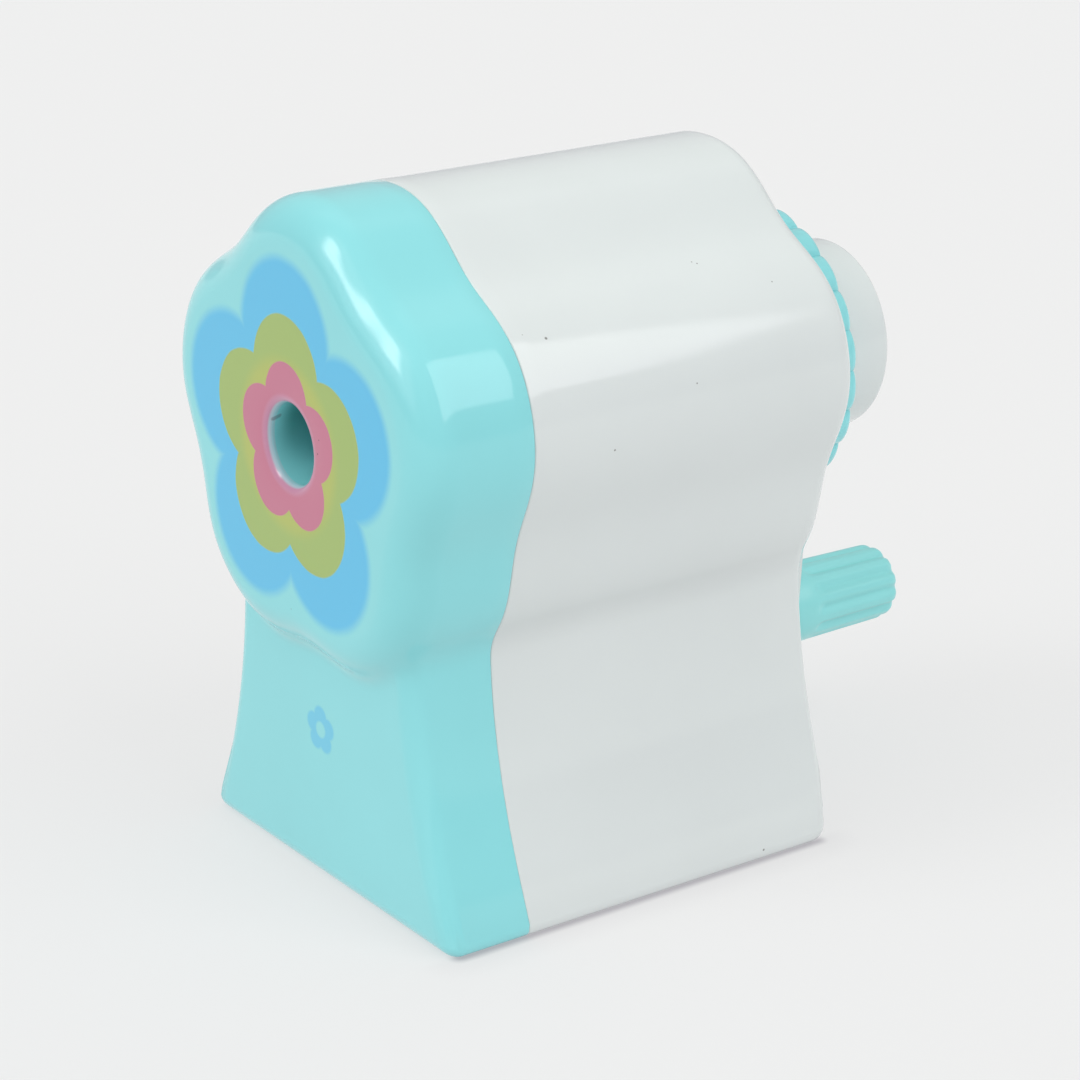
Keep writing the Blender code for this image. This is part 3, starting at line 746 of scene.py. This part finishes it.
class Net:
    """Short calls for building one material's or the world's nodes."""

    def __init__(self, owner):
        owner.use_nodes = True
        self.tree = owner.node_tree
        self.shader = self.tree.nodes.get("Principled BSDF")
        self.where = None

    def node(self, kind, **settings):
        made = self.tree.nodes.new(kind)
        for key, value in settings.items():
            setattr(made, key, value)
        return made

    def feed(self, socket, value):
        if isinstance(value, bpy.types.NodeSocket):
            self.tree.links.new(value, socket)
        else:
            socket.default_value = value

    def math(self, operation, a, b=None, c=None, clamp=False):
        made = self.node("ShaderNodeMath", operation=operation, use_clamp=clamp)
        for index, value in enumerate((a, b, c)):
            if value is not None:
                self.feed(made.inputs[index], value)
        return made.outputs[0]

    def hypot(self, a, b):
        squares = self.math("ADD", self.math("MULTIPLY", a, a), self.math("MULTIPLY", b, b))
        return self.math("SQRT", squares)

    def vector(self, operation, a, b=None, scale=None):
        made = self.node("ShaderNodeVectorMath", operation=operation)
        self.feed(made.inputs[0], a)
        if b is not None:
            self.feed(made.inputs[1], b)
        if scale is not None:
            self.feed(made.inputs["Scale"], scale)
        return made.outputs["Value"] if operation in ("DOT_PRODUCT", "LENGTH") else made.outputs[0]

    def ramp(self, value, start, stop, low_value=0.0, high_value=1.0):
        """An eased step from low_value at start to high_value at stop."""
        made = self.node("ShaderNodeMapRange", interpolation_type="SMOOTHSTEP")
        for index, part in enumerate((value, start, stop, low_value, high_value)):
            self.feed(made.inputs[index], part)
        return made.outputs[0]

    def mix(self, share, a, b):
        """Colour a where share is 0 and b where it is 1; sockets 6 and 7 are the node's colours."""
        made = self.node("ShaderNodeMix", data_type="RGBA")
        self.feed(made.inputs[0], share)
        self.feed(made.inputs[6], a if isinstance(a, bpy.types.NodeSocket) else (*a, 1.0))
        self.feed(made.inputs[7], b if isinstance(b, bpy.types.NodeSocket) else (*b, 1.0))
        return made.outputs[2]

    def noise(self, scale, detail=2.0, where=None, roughness=0.5):
        made = self.node("ShaderNodeTexNoise")
        self.feed(made.inputs["Vector"], where or self.place())
        made.inputs["Scale"].default_value = scale
        made.inputs["Detail"].default_value = detail
        made.inputs["Roughness"].default_value = roughness
        return made.outputs["Fac"]

    def place(self):
        """The point on the piece in the frame's axes, in metres."""
        if self.where is None:
            self.where = self.node("ShaderNodeTexCoord").outputs["Object"]
        return self.where

    def place_mm(self):
        return self.vector("SCALE", self.place(), scale=1 / MM)

    def split(self, value):
        """The x, y and z of a vector."""
        made = self.node("ShaderNodeSeparateXYZ")
        self.feed(made.inputs[0], value)
        return made.outputs[0], made.outputs[1], made.outputs[2]

    def bump(self, height, distance, strength=1.0, below=None):
        made = self.node("ShaderNodeBump")
        made.inputs["Strength"].default_value = strength
        made.inputs["Distance"].default_value = distance
        self.feed(made.inputs["Height"], height)
        if below is not None:
            self.feed(made.inputs["Normal"], below)
        return made.outputs[0]


def specks(net, scale, size, share):
    """Rare tiny dots: 1 inside a dot, 0 elsewhere."""
    cells = net.node("ShaderNodeTexVoronoi")
    net.feed(cells.inputs["Vector"], net.place())
    cells.inputs["Scale"].default_value = scale
    split = net.node("ShaderNodeSeparateColor")
    net.feed(split.inputs[0], cells.outputs["Color"])
    chosen = net.math("GREATER_THAN", split.outputs[0], 1 - share)
    reach = net.math("MULTIPLY_ADD", split.outputs[1], size * scale * 0.7, size * scale * 0.4)
    outside = net.ramp(cells.outputs["Distance"], net.math("MULTIPLY", reach, 0.6), reach)
    return net.math("MULTIPLY", chosen, net.math("SUBTRACT", 1.0, outside))


def dust_marks(net, tint):
    """The few dark specks of dust on the white body, at their places in millimetres."""
    where = net.place_mm()
    for place, size in DUST:
        far = net.vector("LENGTH", net.vector("SUBTRACT", where, place))
        tint = net.mix(net.math("MULTIPLY", net.ramp(far, size, size * 0.4), 0.75), tint, DUST_TINT)
    return tint


def moulded_plastic(name, colour, roughness, dirt=0.25, pattern=None):
    """Glossy moulded ABS: faint colour drift, sink waviness, hairline scuffs and rare specks."""
    material = bpy.data.materials.new(name)
    net = Net(material)
    drift = net.noise(scale=38.0, detail=3.0)
    deep = tuple(part * 0.94 for part in colour)
    pale = tuple(min(part * 1.03 + 0.004, 1.0) for part in colour)
    tint = net.mix(drift, deep, pale)
    if pattern is not None:
        tint = pattern(net, tint)
    dots = specks(net, scale=105.0, size=0.00014, share=0.16)
    tint = net.mix(net.math("MULTIPLY", dots, dirt), tint, DIRT)
    net.feed(net.shader.inputs["Base Color"], tint)

    stretch = net.node("ShaderNodeMapping", vector_type="POINT")
    stretch.inputs["Scale"].default_value = (1.0, 0.07, 1.0)
    stretch.inputs["Rotation"].default_value = (0.3, 0.2, 0.5)
    net.feed(stretch.inputs["Vector"], net.place())
    scratches = net.noise(scale=2600.0, detail=3.0, where=stretch.outputs[0], roughness=0.7)
    scuffs = net.ramp(scratches, 0.60, 0.74)
    smear = net.noise(scale=70.0, detail=4.0)
    rough = net.math("MULTIPLY_ADD", smear, 0.10, roughness - 0.05)
    rough = net.math("MULTIPLY_ADD", scuffs, 0.05, rough, clamp=True)
    net.feed(net.shader.inputs["Roughness"], rough)

    waves = net.bump(net.noise(scale=55.0, detail=1.0), distance=0.00012, strength=0.35)
    grain = net.bump(net.noise(scale=1500.0, detail=2.0), distance=0.000008, strength=0.5, below=waves)
    net.feed(net.shader.inputs["Normal"], grain)
    net.shader.inputs["IOR"].default_value = 1.52
    net.shader.inputs["Coat Weight"].default_value = 0.25
    net.shader.inputs["Coat Roughness"].default_value = 0.06
    return material


def petal_distance(net, x, z, reach, radius):
    """Signed distance in millimetres to five circles set round a centre, one of them straight up.

    It returns the distance from the centre too.
    """
    turn = net.math("ARCTAN2", x, z)
    sector = math.tau / 5
    folded = net.math("FLOORED_MODULO", net.math("ADD", turn, sector / 2), sector)
    folded = net.math("SUBTRACT", folded, sector / 2)
    far = net.hypot(x, z)
    along = net.math("SUBTRACT", net.math("MULTIPLY", far, net.math("COSINE", folded)), reach)
    aside = net.math("MULTIPLY", far, net.math("SINE", folded))
    return net.math("SUBTRACT", net.hypot(along, aside), radius), far


def stroke(net, x, z, start, end, half):
    """1 inside a short round-ended line, 0 elsewhere, all in millimetres."""
    ahead = (end[0] - start[0], end[1] - start[1])
    size = max(ahead[0] ** 2 + ahead[1] ** 2, 1e-9)
    from_x = net.math("SUBTRACT", x, start[0])
    from_z = net.math("SUBTRACT", z, start[1])
    along = net.math("ADD", net.math("MULTIPLY", from_x, ahead[0] / size),
                     net.math("MULTIPLY", from_z, ahead[1] / size), clamp=True)
    off_x = net.math("SUBTRACT", from_x, net.math("MULTIPLY", along, ahead[0]))
    off_z = net.math("SUBTRACT", from_z, net.math("MULTIPLY", along, ahead[1]))
    return net.ramp(net.hypot(off_x, off_z), half * 1.4, half * 0.5)


# The nested flowers: circles' distance from the middle, radius, softness of the edge, colour, strength
BLUE_FLOWER = (11.9, 8.8, 0.75, BLUE, 0.93)
GREEN_FLOWER = (8.1, 6.5, 0.12, GREEN, 0.96)
PINK_FLOWER = (5.2, 4.2, 0.10, PINK, 0.96)
PRINT_X = -0.27
PRINT_Z = -0.31
MARK_Z = 18.4


def flower_prints(net, tint):
    """Nested blue, green and pink flowers round the hole, and a small plain flower on the base."""
    across, y, height = net.split(net.place_mm())
    x = net.math("SUBTRACT", across, PRINT_X)
    z = net.math("SUBTRACT", height, AXIS_Z + PRINT_Z)
    hole_z = net.math("SUBTRACT", height, AXIS_Z)
    from_axis = net.hypot(across, hole_z)
    on_face = net.math("LESS_THAN", y, FACE_Y + 0.6)
    wobble = net.math("MULTIPLY_ADD", net.noise(scale=420.0), 0.16, -0.08)

    def print_layer(tint, reach, radius, soft, colour, strength):
        gap, far = petal_distance(net, x, z, reach, radius)
        cover = net.ramp(net.math("ADD", gap, wobble), soft, -soft)
        cover = net.math("MULTIPLY", cover, net.math("MULTIPLY", on_face, strength))
        return net.mix(cover, tint, colour), gap, far

    tint, _, _ = print_layer(tint, *BLUE_FLOWER)
    tint, gap, far = print_layer(tint, *GREEN_FLOWER)
    # the green turns yellow towards the middle
    glow = net.math("MULTIPLY", net.ramp(far, 10.6, 8.4), net.math("MULTIPLY", on_face, 0.55))
    tint = net.mix(net.math("MULTIPLY", glow, net.ramp(gap, 0.0, -0.4)), tint, YELLOW)
    tint, _, _ = print_layer(tint, *PINK_FLOWER)
    tint = hole_marks(net, tint, across, y, hole_z, from_axis)
    return base_mark(net, tint, x, y, height)


def hole_marks(net, tint, across, y, hole_z, from_axis):
    """Thin ink on the hole's rim, bare plastic inside it painted paler as a highlight, ink flecks beside it,
    a painted reflection in its mouth, and painted shade in the hole.
    """
    on_face = net.math("LESS_THAN", y, FACE_Y + 0.6)
    rim = net.math("MULTIPLY", net.ramp(from_axis, 5.8, 4.9), net.math("LESS_THAN", y, FACE_Y + 0.9))
    tint = net.mix(net.math("MULTIPLY", rim, 0.36), tint, RIM_TINT)
    # painted highlight: the bare plastic at the hole's mouth is painted paler
    bare_and_highlight = net.math("MULTIPLY", net.ramp(from_axis, 4.85, 4.6), net.math("LESS_THAN", y, FACE_Y + 1.0))
    tint = net.mix(net.math("MULTIPLY", bare_and_highlight, 0.8), tint, BARE_AND_HIGHLIGHT_TINT)
    for place, half in (((6.2, 2.2), 0.08), ((5.9, 0.6), 0.1)):
        fleck = stroke(net, across, hole_z, place, place, half)
        tint = net.mix(net.math("MULTIPLY", fleck, on_face), tint, INK_AND_REFLECTION)
    # a painted reflection: a short dark pink streak on the left of the hole's mouth
    pink_reflection = stroke(net, hole_z, y, (1.75, FACE_Y + 0.7), (2.0, FACE_Y + 1.35), 0.26)
    left = net.math("LESS_THAN", across, 0.0)
    mouth = net.math("LESS_THAN", from_axis, 5.0)
    pink_reflection = net.math("MULTIPLY", net.math("MULTIPLY", pink_reflection, left), net.math("MULTIPLY", mouth, 0.5))
    tint = net.mix(pink_reflection, tint, INK_AND_REFLECTION)
    # painted shade: the plastic inside the hole is painted darker with depth, most of all under the roof
    deep = net.math("MULTIPLY", net.ramp(y, FACE_Y + 0.6, FACE_Y + 3.5), net.ramp(hole_z, -4.6, 2.5))
    inside = net.math("LESS_THAN", from_axis, 4.75)
    inside = net.math("MULTIPLY", inside, net.math("GREATER_THAN", y, FACE_Y + 0.1))
    return net.mix(net.math("MULTIPLY", inside, net.math("MULTIPLY", deep, 0.8)), tint, BORE_SHADE)


def base_mark(net, tint, x, y, height):
    """The small plain flower on the front of the base."""
    on_base = net.math("LESS_THAN", y, FRONT_Y + 0.4)
    mark_z = net.math("SUBTRACT", height, MARK_Z)
    gap, far = petal_distance(net, x, mark_z, 1.55, 1.25)
    petals = net.ramp(gap, 0.22, -0.22)
    open_eye = net.ramp(far, 0.75, 1.15)
    cover = net.math("MULTIPLY", net.math("MULTIPLY", petals, open_eye), net.math("MULTIPLY", on_base, 0.62))
    return net.mix(cover, tint, BLUE)


def metal(name, colour, roughness):
    """Plated or ground steel with fine turning marks."""
    material = bpy.data.materials.new(name)
    net = Net(material)
    stretch = net.node("ShaderNodeMapping")
    stretch.inputs["Scale"].default_value = (1.0, 14.0, 1.0)
    net.feed(stretch.inputs["Vector"], net.place())
    lines = net.noise(scale=225.0, detail=3.0, where=stretch.outputs[0], roughness=0.65)
    tone = net.mix(lines, tuple(part * 0.78 for part in colour), colour)
    net.feed(net.shader.inputs["Base Color"], tone)
    net.feed(net.shader.inputs["Roughness"], net.math("MULTIPLY_ADD", lines, 0.22, roughness - 0.08))
    net.feed(net.shader.inputs["Normal"], net.bump(lines, distance=0.00001, strength=0.6))
    net.shader.inputs["Metallic"].default_value = 1.0
    return material


def nylon(name, colour):
    """Waxy natural nylon with soft mottling."""
    material = bpy.data.materials.new(name)
    net = Net(material)
    cloud = net.noise(scale=160.0, detail=4.0)
    sheen = net.noise(scale=500.0, detail=3.0)
    pits = net.noise(scale=900.0, detail=3.0)
    net.feed(net.shader.inputs["Base Color"], net.mix(cloud, tuple(part * 0.88 for part in colour), colour))
    net.feed(net.shader.inputs["Roughness"], net.math("MULTIPLY_ADD", sheen, 0.18, 0.34))
    net.feed(net.shader.inputs["Normal"], net.bump(pits, distance=0.00002, strength=0.5))
    return material


# ---------------------------------------------------------------- stage

FLOOR_SIZE = 4.0
FLOOR_TONE = 0.26
FLOOR_GLOW = 0.583
CONTACT_SHADE = (0.34, 0.31, 0.37)
SKY = 0.50
SKY_TOP = 0.77
# Soft panels: corners as azimuth and elevation in degrees, softness of the edges, brightness
PANELS = [
    (((-8, 17), (38, 19.5), (47, 31), (61, 52), (-8, 63)), 0.012, 1.65),
    (((-122, 12), (-70, 12), (-66, 66), (-116, 66)), 0.12, 0.72),
    (((-114, 28), (-92, 28), (-90, 56), (-112, 56)), 0.08, 4.2),
    (((100, 45), (200, 45), (200, 85), (100, 85)), 0.10, 0.2),
]
SURROUND_LOW = (1.0, 0.975, 1.05)
SURROUND_TOP = (0.985, 1.0, 0.98)
CAMERA_PLACE = (268.8, -189.2, 154.7)
CAMERA_AZIMUTH = 54.464
CAMERA_ELEVATION = 19.993
CAMERA_LENS = 102.94


def make_floor():
    """A pale floor that is lit and also glows a little."""
    mesh = bpy.data.meshes.new("floor")
    corners = [(-FLOOR_SIZE, -FLOOR_SIZE, 0), (FLOOR_SIZE, -FLOOR_SIZE, 0), (FLOOR_SIZE, FLOOR_SIZE, 0),
               (-FLOOR_SIZE, FLOOR_SIZE, 0)]
    mesh.from_pydata(corners, [], [(0, 1, 2, 3)])
    material = bpy.data.materials.new("floor_grey")
    net = Net(material)
    net.shader.inputs["Base Color"].default_value = (FLOOR_TONE, FLOOR_TONE, FLOOR_TONE, 1)
    net.shader.inputs["Roughness"].default_value = 1.0
    net.shader.inputs["Specular IOR Level"].default_value = 0.0
    net.feed(net.shader.inputs["Emission Color"], contact_shade(net))
    net.shader.inputs["Emission Strength"].default_value = FLOOR_GLOW
    mesh.materials.append(material)
    floor = bpy.data.objects.new("floor", mesh)
    bpy.context.scene.collection.objects.link(floor)


def contact_shade(net):
    """The floor's glow, fading out beside the base, where a real floor is in contact shade."""
    x, y, _ = net.split(net.place_mm())
    half_x = NECK_HALF + FLARE - FOOT_ROUND
    half_y = (REAR_Y - FRONT_Y) / 2 - FOOT_ROUND
    middle_y = (FRONT_Y + REAR_Y) / 2
    beside = net.math("MAXIMUM", net.math("SUBTRACT", net.math("ABSOLUTE", x), half_x), 0.0)
    from_middle = net.math("ABSOLUTE", net.math("SUBTRACT", y, middle_y))
    ahead = net.math("MAXIMUM", net.math("SUBTRACT", from_middle, half_y), 0.0)
    gap = net.hypot(beside, ahead)
    near = net.math("ADD", net.ramp(gap, 0.3, 1.7, 0.75, 0.0), net.ramp(gap, 1.0, 6.0, 0.12, 0.0))
    # the shade is deepest on the +X side
    right_share = net.ramp(x, half_x - 1.0, half_x + 0.5, 0.12, 0.8)
    return net.mix(net.math("MULTIPLY", near, right_share), (1.0, 1.0, 1.0), CONTACT_SHADE)


def towards(azimuth, elevation):
    """A direction from its azimuth and elevation in degrees."""
    turn, rise = math.radians(azimuth), math.radians(elevation)
    return Vector((math.cos(turn) * math.cos(rise), math.sin(turn) * math.cos(rise), math.sin(rise)))


def make_light():
    """A white studio as the world: an even surround with four soft-edged bright panels."""
    world = bpy.data.worlds.new("studio")
    bpy.context.scene.world = world
    net = Net(world)
    back = net.tree.nodes["Background"]
    way = net.node("ShaderNodeTexCoord").outputs["Generated"]
    rise = net.split(way)[2]
    total = net.ramp(rise, 0.0, 1.0, SKY, SKY_TOP)
    for corners, soft, bright in PANELS:
        ends = [towards(*corner) for corner in corners]
        centre = sum(ends, Vector()).normalized()
        mask = bright
        for index, end in enumerate(ends):
            edge = end.cross(ends[(index + 1) % len(ends)]).normalized()
            if edge.dot(centre) < 0:
                edge = -edge
            side = net.ramp(net.vector("DOT_PRODUCT", way, tuple(edge)), -soft, soft)
            mask = net.math("MULTIPLY", side, mask)
        total = net.math("ADD", mask, total)
    net.feed(back.inputs["Strength"], total)
    net.feed(back.inputs["Color"], net.mix(net.ramp(rise, 0.0, 0.8), SURROUND_LOW, SURROUND_TOP))


def make_camera():
    """The photo's viewpoint, looking down at the flower face and the white side."""
    azimuth, elevation = math.radians(CAMERA_AZIMUTH), math.radians(CAMERA_ELEVATION)
    back = Vector((math.sin(azimuth) * math.cos(elevation), -math.cos(azimuth) * math.cos(elevation),
                   math.sin(elevation)))
    right = Vector((math.cos(azimuth), math.sin(azimuth), 0.0))
    up = back.cross(right)
    camera = bpy.data.cameras.new("camera")
    camera.lens = CAMERA_LENS
    camera.sensor_width = 36.0
    camera.clip_start = 0.01
    camera.clip_end = 20.0
    item = bpy.data.objects.new("camera", camera)
    bpy.context.scene.collection.objects.link(item)
    place = Vector(CAMERA_PLACE) * MM
    item.matrix_world = Matrix.Translation(place) @ Matrix((right, up, back)).transposed().to_4x4()
    bpy.context.scene.camera = item


# ---------------------------------------------------------------- build

def repaint(material, *nodes):
    """Give carried-over CAD nodes a finished material."""
    for node in nodes:
        for slot in frame["nodes"][node].material_slots:
            slot.material = material


def main():
    aqua = moulded_plastic("aqua_abs", AQUA, roughness=0.10)
    printed = moulded_plastic("aqua_abs_printed", AQUA, roughness=0.10, pattern=flower_prints)
    white = moulded_plastic("white_abs", WHITE, roughness=0.09, dirt=0.7, pattern=dust_marks)
    steel = metal("ground_steel", STEEL, roughness=0.30)
    plated = metal("zinc_plate", ZINC, roughness=0.26)
    plain = nylon("natural_nylon", NATURAL)

    front_shell(printed)
    rear_shell(white)
    key_posts(white)
    lock_ring(aqua)
    crank_hub(white)
    crank_lever(white)
    handle_grip(moulded_plastic("knob_abs", KNOB_AQUA, roughness=0.34))
    helical_cutter(steel)
    hub_cap(white)
    repaint(aqua, "cutter_carrier", "front_bush")
    repaint(plain, "gear_seat", "ring_gear", "cutter_pinion")
    repaint(plated, "drive_shaft", "cutter_pin", "pin_clip", "shaft_pin", "thrust_washer", "rear_washer",
            "crank_screw", "screw_washer", "handle_pin")

    make_floor()
    make_light()
    make_camera()
    bpy.context.scene.view_settings.view_transform = "Standard"


main()
